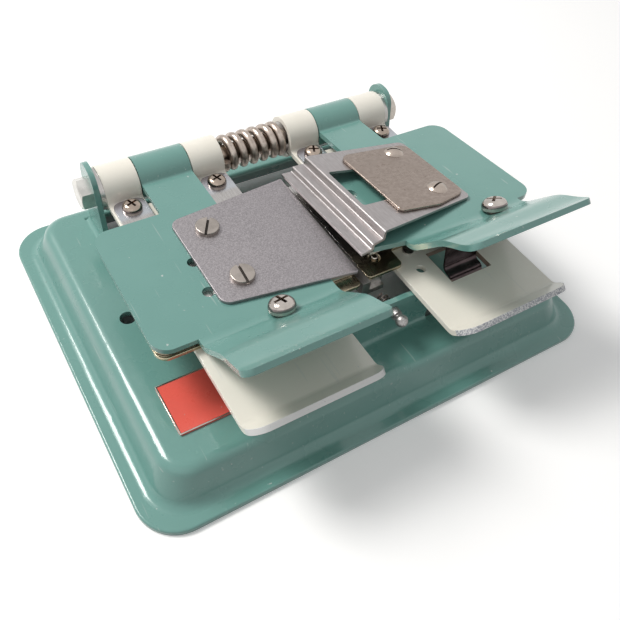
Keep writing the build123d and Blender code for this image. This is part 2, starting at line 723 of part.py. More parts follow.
def upper_plate(side, lift, inner, outer, lip, front_corners, screw_out):
    """One upper plate: the knuckle, the flat with its arm, and the formed lip."""
    level = face_plane(upper_bottom, lift)
    lip_inner, lip_outer = lip
    body = [
        (inner, upper_inner_back_d), (arm_inner_out, upper_inner_back_d, 1.0),
        (arm_inner_out, notch_front_d), (arm_outer_out, notch_front_d),
        (arm_outer_out, upper_back_d, 1.0), (outer, upper_back_d, upper_corner),
        (outer, upper_front_d, upper_corner), (lip_outer, upper_front_d),
        (lip_outer, lip_join_d + 1), (lip_inner, lip_join_d + 1), *front_corners]
    extrude(plate_outline(level, side, body), amount=sheet)
    arm_middle = side * (arm_inner_out + arm_outer_out) / 2
    knuckle = curl_section(section_plane(arm_middle, lift), upper_top, notch_front_d + 1)
    extrude(knuckle, amount=(arm_outer_out - arm_inner_out) / 2, both=True)
    lip_section = ribbon(
        section_plane(side * (lip_inner + lip_outer) / 2, lift), (lip_join_d, upper_top), 0,
        lip_pieces, sheet)
    curl = extrude(lip_section, amount=(lip_outer - lip_inner) / 2, both=True)
    tip = curl.faces().sort_by(Axis.Y)[0]
    fillet([edge for edge in tip.edges() if abs(edge.length - sheet) < 0.01], radius=lip_corner)
    seat = lip_seat(side, lift, screw_out)
    with BuildSketch(seat) as lip_hole:
        Circle(lip_screw_radius + running_fit)
    extrude(lip_hole.sketch, amount=-6, both=True, mode=Mode.SUBTRACT)


def lip_seat(side, lift, screw_out):
    """Plane under the lip screw's head, halfway between the flat and the rising lip."""
    angle, tilt = math.radians(lift), math.radians(lift + lip_tilt)
    ahead = Vector(0, -math.cos(angle), math.sin(angle))
    above = Vector(0, math.sin(angle), math.cos(angle))
    normal = Vector(0, math.sin(tilt), math.cos(tilt))
    corner = Vector(mech_x + side * screw_out, hinge_y, hinge_z) + ahead * lip_seat_d + above * upper_top
    return Plane(origin=corner + normal * lip_seat_lift, x_dir=(1, 0, 0), z_dir=normal)


clamp_front_d = bed_front_d - 0.9
clamp_side_d = clamp_front_d - 5.5
left_holes = ((37.3, clamp_side_d - 5.9), (36.4, 39.2))
left_hole_radius = 1.6
right_hole_place, right_hole_radius = (11.2, 38.2), 2.1
pin_relief = film_pin_radius + 0.5
plate_outer_left, plate_outer_right = bed_outer_out + 0.3, bed_outer_out + 2.1

with BuildPart() as upper_left_plate:
    upper_plate(-1, 0.0, plate_inner_left, plate_outer_left, (lip_inner_left, lip_outer_left),
                [(lip_inner_left, lip_start_d - 2.5), (plate_inner_left, lip_start_d - 2.5)],
                lip_screw_out_left)
    extrude(holes(face_plane(upper_bottom), -1, left_holes, left_hole_radius), amount=sheet,
            mode=Mode.SUBTRACT)
upper_left_plate.part.label = "upper_left_plate"
export_step(upper_left_plate.part, "parts/upper_left_plate.step")

with BuildPart() as upper_right_plate:
    upper_plate(1, open_angle, plate_inner_right, plate_outer_right, (lip_inner_right, lip_outer_right),
                [(lip_inner_right, lip_start_d), (plate_inner_right, lip_start_d - 1.7)],
                lip_screw_out_right)
    extrude(holes(face_plane(upper_bottom, open_angle), 1, [right_hole_place], right_hole_radius),
            amount=sheet, mode=Mode.SUBTRACT)
upper_right_plate.part.label = "upper_right_plate"
export_step(upper_right_plate.part, "parts/upper_right_plate.step")

# ---- Clamp faces: steel sheets under the upper plates that press on the film ----
face_outer_out = bed_outer_out - 0.2
face_back_d, face_front_d = 22.5, clamp_front_d
right_face_notch = 8.1  # from the outer side in to the latch notch


def clamp_face(side, lift, inner, front_inner, notch_out, pin_out):
    """One clamp face with a clearance hole for the film pin."""
    under = face_plane(face_bottom, lift)
    corners = [
        (inner, face_back_d), (face_outer_out, face_back_d, 3.0), (face_outer_out, face_front_d, 3.0),
        (notch_out, face_front_d, 1.0), (notch_out, bed_notch_d, 1.0),
        (bed_lug_out, bed_notch_d, 1.0), (bed_lug_out, front_inner), (inner, front_inner)]
    extrude(plate_outline(under, side, corners), amount=face_thickness)
    extrude(holes(under, side, [(pin_out, film_pin_d)], pin_relief),
            amount=face_thickness, mode=Mode.SUBTRACT)


with BuildPart() as left_clamp_face:
    clamp_face(-1, 0.0, plate_inner_left, face_front_d - 2.0, bed_notch_out, left_pin_out)
left_clamp_face.part.label = "left_clamp_face"
export_step(left_clamp_face.part, "parts/left_clamp_face.step")

with BuildPart() as right_clamp_face:
    clamp_face(1, open_angle, face_inner_right, face_front_d - 1.3,
               face_outer_out - right_face_notch, right_pin_out)
right_clamp_face.part.label = "right_clamp_face"
export_step(right_clamp_face.part, "parts/right_clamp_face.step")

# ---- Left pressure plate with its two slotted screws ----
pressure_thickness = 1.0
pressure_top = upper_top + pressure_thickness
left_plate_screw_places = ((28.4, 30.6), (28.0, clamp_side_d - 6.1))
pressure_corners = [
    (36.3, clamp_side_d, 3.0), (36.3, 23.9, 3.0), (0.8, 20.8, 0.6), (0.8, clamp_front_d, 0.6)]

with BuildPart() as left_pressure_plate:
    extrude(plate_outline(face_plane(upper_top), -1, pressure_corners), amount=pressure_thickness)
    top_rim = left_pressure_plate.faces().sort_by(Axis.Z)[-1].outer_wire().edges()
    fillet(top_rim, radius=0.25)
    extrude(holes(face_plane(upper_top), -1, left_plate_screw_places, plate_screw_radius + running_fit),
            amount=pressure_thickness, mode=Mode.SUBTRACT)
left_pressure_plate.part.label = "left_pressure_plate"
export_step(left_pressure_plate.part, "parts/left_pressure_plate.step")

left_plate_screw = slotted_screw(
    plate_screw_head, plate_screw_height, plate_screw_radius, pressure_thickness)
left_slot_turns = (72, 62)

with BuildPart() as left_plate_screws:
    for (out, d), turn in zip(left_plate_screw_places, left_slot_turns):
        with Locations(face_plane(pressure_top) * Location((-out, -d))):
            add(left_plate_screw, rotation=(0, 0, turn))
left_plate_screws.part.label = "left_plate_screws"
export_step(left_plate_screws.part, "parts/left_plate_screws.step")

# ---- Right ribbed spring plate and the plate that backs it ----
spring_sheet = 0.8
rib_inner_x, rib_outer_x = 1.0, 41.0
rib_low, rib_mid, rib_high = 2.4, 3.9, 6.1
rib_first_x, rib_second_x = 4.2, 7.9
rib_far = 2.95
backing_sheet = 0.9
backing_left_x, backing_right_x = 17.0, 40.2
right_plate_screw_places = ((32.2, 29.6), (32.2, clamp_side_d - 6.0))


def rib_profile(lift):
    """Section of the ribbed plate along X: two steps up by the joint, then a long slope down."""
    section = Plane(
        origin=(mech_x, hinge_y, hinge_z), x_dir=(1, 0, 0),
        z_dir=(0, -math.cos(math.radians(lift)), math.sin(math.radians(lift))))
    top = [
        (rib_inner_x, rib_low), (rib_first_x, rib_low, 0.5), (rib_first_x + 0.2, rib_mid, 0.6),
        (rib_second_x, rib_mid, 0.5), (rib_second_x + 0.4, rib_high, 0.6),
        (rib_second_x + 1.6, rib_high), (rib_outer_x, rib_far)]
    under = [
        (rib_outer_x, rib_far - spring_sheet), (rib_second_x + 1.6, rib_high - spring_sheet),
        (rib_second_x + 1.1, rib_high - spring_sheet), (rib_second_x + 0.8, rib_mid - spring_sheet),
        (rib_first_x + 1.0, rib_mid - spring_sheet), (rib_first_x + 0.8, rib_low - spring_sheet),
        (rib_inner_x, rib_low - spring_sheet)]
    return outline(section, [(x - mech_x, *rest) for x, *rest in top + under])


slope_angle = math.degrees(math.atan2(rib_high - rib_far, rib_outer_x - rib_second_x - 1.6))


def slope_height(x):
    """Height of the ribbed plate's upper face on its long slope."""
    return rib_far + (rib_outer_x - x) * math.tan(math.radians(slope_angle))


def slope_plane(x, rise=0.0):
    """Plane on the ribbed plate's slope at `x`, on the middle line of the plate: local Y is back."""
    angle, tilt = math.radians(open_angle), math.radians(slope_angle)
    above = Vector(0, math.sin(angle), math.cos(angle))
    across = Vector(math.cos(tilt), 0, 0) - above * math.sin(tilt)
    normal = Vector(math.sin(tilt), 0, 0) + above * math.cos(tilt)
    start = Vector(x, hinge_y, hinge_z) + above * slope_height(x)
    return Plane(origin=start + normal * rise, x_dir=across, z_dir=normal)


with BuildPart() as right_spring_plate:
    extrude(rib_profile(open_angle), amount=70)
    rib_shape = plate_outline(face_plane(-2, open_angle), 1, [
        (rib_inner_x - mech_x - 0.5, 20.8), (rib_outer_x - mech_x, 23.9, 2.0),
        (rib_outer_x - mech_x, clamp_side_d, 2.0), (rib_inner_x - mech_x - 0.5, clamp_front_d)])
    extrude(rib_shape, amount=12, mode=Mode.INTERSECT)
    rib_window = plate_outline(face_plane(-2, open_angle), 1, [
        (8.4, 31.0, 0.8), (17.6, 32.5, 0.8),
        (17.6, clamp_side_d - 7.3, 0.8), (8.4, clamp_side_d - 7.3, 0.8)])
    extrude(rib_window, amount=12, mode=Mode.SUBTRACT)
    extrude(holes(face_plane(-2, open_angle), 1, right_plate_screw_places, plate_screw_radius + 0.3),
            amount=12, mode=Mode.SUBTRACT)
right_spring_plate.part.label = "right_spring_plate"
export_step(right_spring_plate.part, "parts/right_spring_plate.step")

with BuildPart() as right_backing_plate:
    backing_plane = slope_plane(backing_left_x)
    backing_shape = outline(backing_plane, [
        (0, -25.5, 3.0), (backing_right_x - backing_left_x, -26.5, 3.0),
        (backing_right_x - backing_left_x, 1.8 - clamp_side_d, 3.0),
        (12.5, -clamp_side_d - 0.7, 4.0), (0, 0.6 - clamp_side_d, 2.0)])
    extrude(backing_shape, amount=backing_sheet)
    crown = right_backing_plate.faces().sort_by(Axis(backing_plane.origin, backing_plane.z_dir))[-1]
    fillet(crown.outer_wire().edges(), radius=0.5)
    for out, d in right_plate_screw_places:
        with BuildSketch(slope_plane(mech_x + out)) as backing_hole:
            with Locations((0, -d)):
                Circle(plate_screw_radius + running_fit)
        extrude(backing_hole.sketch, amount=backing_sheet + 1, both=True, mode=Mode.SUBTRACT)
right_backing_plate.part.label = "right_backing_plate"
export_step(right_backing_plate.part, "parts/right_backing_plate.step")

right_shank = backing_sheet + spring_sheet
right_plate_screw = slotted_screw(plate_screw_head, plate_screw_height, plate_screw_radius, right_shank)
right_slot_turns = (20, 48)

with BuildPart() as right_plate_screws:
    for (out, d), turn in zip(right_plate_screw_places, right_slot_turns):
        with Locations(slope_plane(mech_x + out, backing_sheet) * Location((0, -d))):
            add(right_plate_screw, rotation=(0, 0, turn))
right_plate_screws.part.label = "right_plate_screws"
export_step(right_plate_screws.part, "parts/right_plate_screws.step")

# ---- Lip screws and the latch springs that they hold ----
leaf_thickness = 0.6
leaf_inner_out, leaf_outer_out = 23.6, 34.6
lip_under_bend = lip_pieces[1][0] + sheet  # the bend's radius on the lip's underside


with BuildPart() as left_lip_screw:
    with Locations(lip_seat(-1, 0.0, lip_screw_out_left)):
        add(lip_screw, rotation=(0, 0, 10))
left_lip_screw.part.label = "left_lip_screw"
export_step(left_lip_screw.part, "parts/left_lip_screw.step")

with BuildPart() as right_lip_screw:
    with Locations(lip_seat(1, open_angle, lip_screw_out_right)):
        add(lip_screw, rotation=(0, 0, 40))
right_lip_screw.part.label = "right_lip_screw"
export_step(right_lip_screw.part, "parts/right_lip_screw.step")


def latch_spring(side, lift, wing_inner, wing_outer, screw_out):
    """Leaf held under the lip by the lip screw, its tongue bent down through the latch hole."""
    gap = 0.02
    start = (lip_start_d - 5.8, upper_bottom - gap)
    wing = ribbon(section_plane(side * (wing_inner + wing_outer) / 2, lift), start, 0,
                  [lip_start_d - start[0], (lip_under_bend + gap, 22)], leaf_thickness)
    extrude(wing, amount=(wing_outer - wing_inner) / 2, both=True)
    tongue = ribbon(
        section_plane(side * (leaf_inner_out + leaf_outer_out) / 2, lift), start, 0,
        [lip_start_d - start[0], (lip_under_bend + gap, 12), (2.2, -97), 6.2, (1.6, 70), 1.0,
         (1.6, -60), 1.2], leaf_thickness)
    extrude(tongue, amount=(leaf_outer_out - leaf_inner_out) / 2, both=True)
    seat = lip_seat(side, lift, screw_out)
    with BuildSketch(seat) as leaf_hole:
        Circle(lip_screw_radius + running_fit)
    extrude(leaf_hole.sketch, amount=-8, both=True, mode=Mode.SUBTRACT)


with BuildPart() as left_latch_spring:
    latch_spring(-1, 0.0, 18.6, 34.6, lip_screw_out_left)
left_latch_spring.part.label = "left_latch_spring"
export_step(left_latch_spring.part, "parts/left_latch_spring.step")

with BuildPart() as right_latch_spring:
    latch_spring(1, open_angle, 23.6, 46.6, lip_screw_out_right)
right_latch_spring.part.label = "right_latch_spring"
export_step(right_latch_spring.part, "parts/right_latch_spring.step")
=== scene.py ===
"""Film splicer: finishes, small fittings, floor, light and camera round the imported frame."""
import json
import math

import bpy
from mathutils import Matrix, Vector


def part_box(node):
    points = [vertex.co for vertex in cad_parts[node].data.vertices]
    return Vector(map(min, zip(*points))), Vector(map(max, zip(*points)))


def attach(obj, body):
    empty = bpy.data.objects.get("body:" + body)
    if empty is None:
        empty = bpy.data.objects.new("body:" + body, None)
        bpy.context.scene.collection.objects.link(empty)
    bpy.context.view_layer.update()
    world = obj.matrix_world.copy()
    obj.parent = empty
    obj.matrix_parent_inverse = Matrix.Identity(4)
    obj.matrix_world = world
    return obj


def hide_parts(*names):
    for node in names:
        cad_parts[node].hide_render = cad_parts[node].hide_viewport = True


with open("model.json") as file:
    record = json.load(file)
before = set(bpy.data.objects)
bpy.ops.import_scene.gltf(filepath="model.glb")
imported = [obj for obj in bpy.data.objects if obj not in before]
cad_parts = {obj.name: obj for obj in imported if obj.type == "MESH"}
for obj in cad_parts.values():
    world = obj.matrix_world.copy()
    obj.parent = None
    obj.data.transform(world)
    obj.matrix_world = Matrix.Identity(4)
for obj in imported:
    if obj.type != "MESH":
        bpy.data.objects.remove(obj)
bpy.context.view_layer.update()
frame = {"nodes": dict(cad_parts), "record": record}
nodes = frame["nodes"]
record = frame["record"]
body_of = {node: body for body, members in record["behaviour"]["bodies"].items()
           for node in members}

MM = 0.001
SAME_POINT = 0.002 * MM  # points of a solid's loose triangles that are one corner
FLAT = math.radians(1.0)  # faces that bend less than this are one face
SHARP = math.radians(40)  # an edge that bends more than this stays sharp
CUT_EDGE = math.radians(50)  # an edge that bends more than this is a cut edge of a sheet


# ---- Colours ----

GREEN = (0.148, 0.328, 0.292)
GREEN_SHADE = (0.128, 0.292, 0.260)
CREAM = (0.905, 0.868, 0.780)
CREAM_SHADE = (0.845, 0.802, 0.706)
DUST = (0.66, 0.68, 0.66)
CHIP = (0.060, 0.052, 0.050)
WORN_RIM = (0.74, 0.77, 0.81)
CHIPPED_RIM = (0.22, 0.24, 0.30)
# Painted shade with a warm reflection, for the walls of the latch holes.
HOLE_WALL_SHADE = (0.17, 0.085, 0.05)
RUST = (0.12, 0.075, 0.05)
TAB_BLUE = (0.47, 0.50, 0.54)
TAB_PURPLE = (0.30, 0.275, 0.31)
BED_YELLOW = (0.50, 0.42, 0.25)
# Painted shade on the hinge bolt under its coil.
SHADE_UNDER_COIL = (0.40, 0.33, 0.27)
NICKEL = (0.55, 0.50, 0.46)
WARM_NICKEL = (0.44, 0.36, 0.30)
DULL_NICKEL = (0.42, 0.375, 0.34)
BROWNED = (0.46, 0.39, 0.34)
# Painted shade for the drives of screws.
SHADE_IN_PITS = (0.040, 0.031, 0.026)
# Painted dark reflection round the side of screw heads.
DARK_SIDE_REFLECTION = (0.150, 0.115, 0.120)
RED = (0.83, 0.125, 0.093)
RED_SHADE = (0.70, 0.094, 0.068)
PLATE_METAL = (0.62, 0.55, 0.52)


# ---- Shader nodes ----

class Sheet:
    """A node tree that is being filled in, with short calls that add and link its nodes."""

    def __init__(self, tree):
        self.tree = tree

    def add(self, kind, settings=None, **inputs):
        """New node with its settings and inputs; in an input's name, _ stands for a space."""
        node = self.tree.nodes.new(kind)
        for name, value in (settings or {}).items():
            setattr(node, name, value)
        for name, value in inputs.items():
            self.feed(node, name.replace("_", " "), value)
        return node

    def feed(self, node, name, value):
        """Link a value to an input, given by its name or its number, or set it there."""
        socket = node.inputs[name]
        if isinstance(value, bpy.types.NodeSocket):
            self.tree.links.new(value, socket)
        else:
            socket.default_value = value

    def math(self, operation, first, second=0.0):
        node = self.add("ShaderNodeMath", {"operation": operation})
        self.feed(node, 0, first)
        self.feed(node, 1, second)
        return node.outputs[0]

    def noise(self, vector, scale, detail=4.0, rough=0.55):
        node = self.add("ShaderNodeTexNoise", Vector=vector, Scale=scale, Detail=detail,
                        Roughness=rough)
        return node.outputs[0]

    def spread(self, value, low, high, to_low=0.0, to_high=1.0):
        """Soft step from to_low, where the value is low, to to_high, where it is high."""
        node = self.add("ShaderNodeMapRange", {"interpolation_type": "SMOOTHSTEP"}, Value=value,
                        From_Min=low, From_Max=high, To_Min=to_low, To_Max=to_high)
        return node.outputs["Result"]

    def blend(self, factor, first, second):
        """First colour at factor 0 and second at 1; a colour is three numbers or a link."""
        node = self.add("ShaderNodeMix", {"data_type": "RGBA"})
        self.feed(node, "Factor", factor)
        for index, colour in ((6, first), (7, second)):
            linked = isinstance(colour, bpy.types.NodeSocket)
            self.feed(node, index, colour if linked else (*colour, 1.0))
        return node.outputs[2]

    def axes(self, vector):
        """X, Y and Z of a vector, by name."""
        return self.add("ShaderNodeSeparateXYZ", Vector=vector).outputs

    def length(self, vector):
        node = self.add("ShaderNodeVectorMath", {"operation": "LENGTH"}, Vector=vector)
        return node.outputs["Value"]

    def along(self, vector, way):
        """Distance along a direction, in metres."""
        node = self.add("ShaderNodeVectorMath", {"operation": "DOT_PRODUCT"})
        self.feed(node, 0, vector)
        self.feed(node, 1, way)
        return node.outputs["Value"]

    def near(self, value, middle, reach, soft):
        """1 where a value lies within reach of a middle, falling to 0 over a soft edge."""
        off = self.math("ABSOLUTE", self.math("SUBTRACT", value, middle))
        return self.spread(off, reach + soft, reach - soft)

    def stretched(self, vector, scale, turn=0.0):
        """Coordinates for a grain that is drawn out along one way and turned about Z."""
        node = self.add("ShaderNodeMapping", Vector=vector, Scale=scale, Rotation=(0, 0, turn))
        return node.outputs["Vector"]

    def group(self, tree, **inputs):
        """Outputs of a new node that places a group."""
        return self.add("ShaderNodeGroup", {"node_tree": tree}, **inputs).outputs

    def clamp(self, value):
        return self.add("ShaderNodeClamp", Value=value).outputs[0]

    def seen(self):
        """1 for what is seen, also in a mirror or through glass, and 0 for what only lights."""
        path = self.add("ShaderNodeLightPath").outputs
        seen = self.math("MAXIMUM", path["Is Camera Ray"], path["Is Glossy Ray"])
        return self.math("MAXIMUM", seen, path["Is Transmission Ray"])


def new_group(name, inputs, outputs):
    """Empty shader node group: its tree, its sheet, its inputs and its output node."""
    tree = bpy.data.node_groups.new(name, "ShaderNodeTree")
    for label, kind in inputs:
        tree.interface.new_socket(name=label, in_out="INPUT", socket_type=kind)
    for label, kind in outputs:
        tree.interface.new_socket(name=label, in_out="OUTPUT", socket_type=kind)
    sheet = Sheet(tree)
    return tree, sheet, sheet.add("NodeGroupInput").outputs, sheet.add("NodeGroupOutput")


FLOAT, VECTOR = "NodeSocketFloat", "NodeSocketVector"


def speckle_group():
    """Sparse specks: pits, dust and chips. Amount runs from none at 0 to thick at 1."""
    tree, sheet, given, end = new_group(
        "specks", [("Vector", VECTOR), ("Scale", FLOAT), ("Amount", FLOAT)], [("Mask", FLOAT)])
    grain = sheet.noise(given["Vector"], given["Scale"], detail=3.0, rough=0.6)
    none_left, span, softness = 0.78, 0.35, 0.04
    edge = sheet.math("SUBTRACT", none_left, sheet.math("MULTIPLY", given["Amount"], span))
    mask = sheet.math("DIVIDE", sheet.math("SUBTRACT", grain, edge), softness)
    sheet.feed(end, "Mask", sheet.clamp(mask))
    return tree


def patch_group():
    """Broad uneven patches, as old enamel and handled steel have."""
    tree, sheet, given, end = new_group(
        "patches", [("Vector", VECTOR), ("Scale", FLOAT)], [("Value", FLOAT)])
    broad = sheet.noise(given["Vector"], given["Scale"], detail=5.0, rough=0.6)
    sheet.feed(end, "Value", sheet.spread(broad, 0.3, 0.7))
    return tree


def brushing_group():
    """Long fine scratches along one way, with a few deeper ones."""
    tree, sheet, given, end = new_group(
        "brushing", [("Vector", VECTOR), ("Scale", FLOAT)], [("Value", FLOAT), ("Scratch", FLOAT)])
    deep_share = 0.23
    fine = sheet.noise(given["Vector"], given["Scale"], detail=6.0, rough=0.7)
    deep_scale = sheet.math("MULTIPLY", given["Scale"], deep_share)
    deep = sheet.noise(given["Vector"], deep_scale, detail=2.0, rough=0.5)
    sheet.feed(end, "Value", fine)
    sheet.feed(end, "Scratch", sheet.spread(deep, 0.66, 0.72))
    return tree


def hairline_group():
    """Thin short scratches that lie three ways."""
    tree, sheet, given, end = new_group(
        "hairlines", [("Vector", VECTOR), ("Scale", FLOAT), ("Amount", FLOAT)], [("Mask", FLOAT)])
    none_left, span, softness, drawn_out = 0.80, 0.12, 0.02, (1.0, 0.05, 1.0)
    edge = sheet.math("SUBTRACT", none_left, sheet.math("MULTIPLY", given["Amount"], span))
    marks = []
    for turn in (0.5, 1.4, 2.5):
        lying = sheet.stretched(given["Vector"], drawn_out, turn)
        grain = sheet.noise(lying, given["Scale"], detail=1.0, rough=0.4)
        mark = sheet.math("DIVIDE", sheet.math("SUBTRACT", grain, edge), softness)
        marks.append(sheet.clamp(mark))
    sheet.feed(end, "Mask", sheet.math("MAXIMUM", marks[0], sheet.math("MAXIMUM", *marks[1:])))
    return tree


def pit_group():
    """Slot or recess of a screw: 1 within Radius of its axis and deeper than Depth below Top."""
    tree, sheet, given, end = new_group(
        "pit", [("Vector", VECTOR), ("Top", VECTOR), ("Axis", VECTOR), ("Radius", FLOAT),
                ("Depth", FLOAT)], [("Mask", FLOAT)])
    from_top = sheet.add("ShaderNodeVectorMath", {"operation": "SUBTRACT"})
    sheet.feed(from_top, 0, given["Vector"])
    sheet.feed(from_top, 1, given["Top"])
    offset = from_top.outputs["Vector"]
    height = sheet.along(offset, given["Axis"])
    squares = [sheet.math("POWER", side, 2.0) for side in (sheet.length(offset), height)]
    across = sheet.math("SQRT", sheet.math("MAXIMUM", 0.0, sheet.math("SUBTRACT", *squares)))
    inside = sheet.math("LESS_THAN", across, given["Radius"])
    deep = sheet.math("LESS_THAN", height, sheet.math("MULTIPLY", given["Depth"], -1.0))
    sheet.feed(end, "Mask", sheet.math("MULTIPLY", inside, deep))
    return tree


specks = speckle_group()
patches = patch_group()
brushing = brushing_group()
hairlines = hairline_group()
pit = pit_group()


def new_material(name):
    """Material with a Principled shader: itself, its sheet, its object coordinates, its shader."""
    material = bpy.data.materials.new(name)
    material.use_nodes = True
    material.node_tree.nodes.clear()
    sheet = Sheet(material.node_tree)
    place = sheet.add("ShaderNodeTexCoord").outputs["Object"]
    shader = sheet.add("ShaderNodeBsdfPrincipled")
    out = sheet.add("ShaderNodeOutputMaterial")
    material.node_tree.links.new(shader.outputs["BSDF"], out.inputs["Surface"])
    return material, sheet, place, shader


def raise_grain(sheet, shader, height, strength, distance):
    """Bump that stands up to a distance where the height is 1."""
    bump = sheet.add("ShaderNodeBump", Height=height, Strength=strength, Distance=distance)
    sheet.feed(shader, "Normal", bump.outputs["Normal"])


# ---- Finishes ----

def enamel(name, colour, shade, gloss, chips, mark=None):
    """Stoved enamel: uneven colour, orange peel, light dust, hairlines, and chips to dark steel.

    A mark changes the base colour and the wear in places that the piece has of its own.
    """
    material, sheet, place, shader = new_material(name)
    tone = sheet.group(patches, Vector=place, Scale=45.0)["Value"]
    fine = sheet.noise(place, scale=420.0, detail=3.0)
    base = sheet.blend(sheet.spread(tone, 0.0, 1.0, 0.0, 0.5), colour, shade)
    base = sheet.blend(sheet.spread(fine, 0.55, 0.8, 0.0, 0.25), base, shade)
    dust = sheet.group(specks, Vector=place, Scale=560.0, Amount=0.16)["Mask"]
    scratches = sheet.group(hairlines, Vector=place, Scale=800.0, Amount=0.25)["Mask"]
    pale = sheet.math("MAXIMUM", dust, sheet.math("MULTIPLY", scratches, 0.35))
    base = sheet.blend(sheet.math("MULTIPLY", pale, 0.6), base, DUST)
    wear = sheet.group(specks, Vector=place, Scale=300.0, Amount=chips)["Mask"]
    base = sheet.blend(wear, base, CHIP)
    if mark is not None:
        base, wear = mark(sheet, place, base, wear)
    sheet.feed(shader, "Base Color", base)
    rough = sheet.spread(tone, 0.0, 1.0, gloss, gloss + 0.1)
    sheet.feed(shader, "Roughness", sheet.math("ADD", rough, sheet.math("MULTIPLY", wear, 0.3)))
    shader.inputs["Coat Roughness"].default_value = 0.08
    shader.inputs["Coat IOR"].default_value = 1.5
    coat = sheet.math("SUBTRACT", 0.4, sheet.math("MULTIPLY", wear, 0.4))
    sheet.feed(shader, "Coat Weight", coat)
    peel = sheet.noise(place, scale=230.0, detail=2.0)
    height = sheet.math("SUBTRACT", peel, sheet.math("MULTIPLY", wear, 1.4))
    raise_grain(sheet, shader, height, strength=0.2, distance=0.06 * MM)
    return material


def cream_marks(node, rim_wear):
    """Mark of a lower plate: the chipped cut edge of its front, and painted shade with a warm
    reflection on its latch hole's walls.
    """
    forward_up = Vector((0.0, -math.sqrt(0.5), math.sqrt(0.5)))
    tip = max(vertex.co.dot(forward_up) for vertex in nodes[node].data.vertices)
    low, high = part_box(node)
    plate_middle, half = (low.x + high.x) / 2, (high.x - low.x) / 2
    corner, edge_from, edge_to = 4.5 * MM, 0.24 * MM, 0.06 * MM
    side = 1 if plate_middle > 0 else -1
    hole = {"X": (plate_middle - side * 0.2 * MM, 6.9 * MM), "Y": (-31.8 * MM, 5.75 * MM)}
    hole_softness = 0.03 * MM

    def mark(sheet, place, base, wear):
        axes = sheet.axes(place)
        beside = sheet.math("ABSOLUTE", sheet.math("SUBTRACT", axes["X"], plate_middle))
        beside = sheet.math("MAXIMUM", sheet.math("SUBTRACT", beside, half - corner), 0.0)
        ahead = sheet.math("SUBTRACT", sheet.along(place, forward_up), tip - corner)
        past = sheet.math("GREATER_THAN", ahead, 0.0)
        ahead = sheet.math("MAXIMUM", ahead, 0.0)
        squares = [sheet.math("POWER", way, 2.0) for way in (beside, ahead)]
        out = sheet.math("SQRT", sheet.math("ADD", *squares))
        edge = sheet.math("MULTIPLY", past, sheet.spread(out, corner - edge_from, corner - edge_to))
        grain = sheet.noise(place, scale=2600.0, rough=0.7)
        chips = sheet.spread(grain, 0.60 - rim_wear, 0.70 - rim_wear)
        chipped = sheet.math("MULTIPLY", edge, chips)
        base = sheet.blend(sheet.math("MULTIPLY", edge, 0.6), base, WORN_RIM)
        base = sheet.blend(sheet.math("MULTIPLY", chipped, 0.75), base, CHIPPED_RIM)
        inside = [sheet.near(axes[axis], middle, reach, hole_softness)
                  for axis, (middle, reach) in hole.items()]
        wall = sheet.math("MULTIPLY", *inside)
        # Painted shade: the latch hole's walls are darkened to brown, with a warm reflection in it.
        base = sheet.blend(sheet.math("MULTIPLY", wall, 0.85), base, HOLE_WALL_SHADE)
        return base, sheet.math("MAXIMUM", wear, sheet.math("MAXIMUM", chipped, wall))
    return mark


ALONG_Y = (1.0, 0.1, 1.0)
EVEN = (1.0, 1.0, 1.0)


def steel(name, colour, shade, rough, grain_scale, stretch=ALONG_Y, turn=0.0, stain=0.35, rust=0.0,
          relief=0.3, tint=None):
    """Ground or brushed steel: directional grain, uneven tone, stains and a few scratches.

    A tint changes the base colour in places that the piece has of its own.
    """
    material, sheet, place, shader = new_material(name)
    along = sheet.stretched(place, stretch, turn)
    lines = sheet.group(brushing, Vector=along, Scale=grain_scale)
    tone = sheet.group(patches, Vector=place, Scale=70.0)["Value"]
    base = sheet.blend(sheet.spread(lines["Value"], 0.32, 0.7), shade, colour)
    base = sheet.blend(sheet.math("MULTIPLY", tone, stain), base, shade)
    spots = sheet.group(specks, Vector=place, Scale=520.0, Amount=0.15 + rust)["Mask"]
    base = sheet.blend(sheet.math("MULTIPLY", spots, 0.6), base, RUST)
    if tint is not None:
        base = tint(sheet, place, base)
    sheet.feed(shader, "Base Color", base)
    sheet.feed(shader, "Metallic", sheet.math("SUBTRACT", 1.0, sheet.math("MULTIPLY", spots, 0.5)))
    uneven = sheet.math("ADD", sheet.math("MULTIPLY", lines["Value"], 0.16),
                        sheet.math("MULTIPLY", tone, 0.1))
    sheet.feed(shader, "Roughness", sheet.math("ADD", uneven, rough - 0.13))
    height = sheet.math("SUBTRACT", lines["Value"], sheet.math("MULTIPLY", lines["Scratch"], 0.5))
    raise_grain(sheet, shader, height, strength=relief, distance=0.04 * MM)
    return material


def bed_tint(sheet, place, base):
    """Film bed: tabs at the back that go from blue to a darker purple along Y, and a front third
    that is yellower.
    """
    y = sheet.axes(place)["Y"]
    bed_end, tab_start, tab_end = 19.0 * MM, 21.0 * MM, 27.5 * MM
    yellow_from, yellow_to = -12.0 * MM, -24.0 * MM
    tabs = sheet.spread(y, bed_end, tab_start)
    hue = sheet.spread(y, tab_start, tab_end)
    tab_colour = sheet.blend(hue, TAB_BLUE, TAB_PURPLE)
    base = sheet.blend(sheet.math("MULTIPLY", tabs, 0.75), base, tab_colour)
    front = sheet.spread(y, yellow_from, yellow_to)
    return sheet.blend(sheet.math("MULTIPLY", front, 0.7), base, BED_YELLOW)


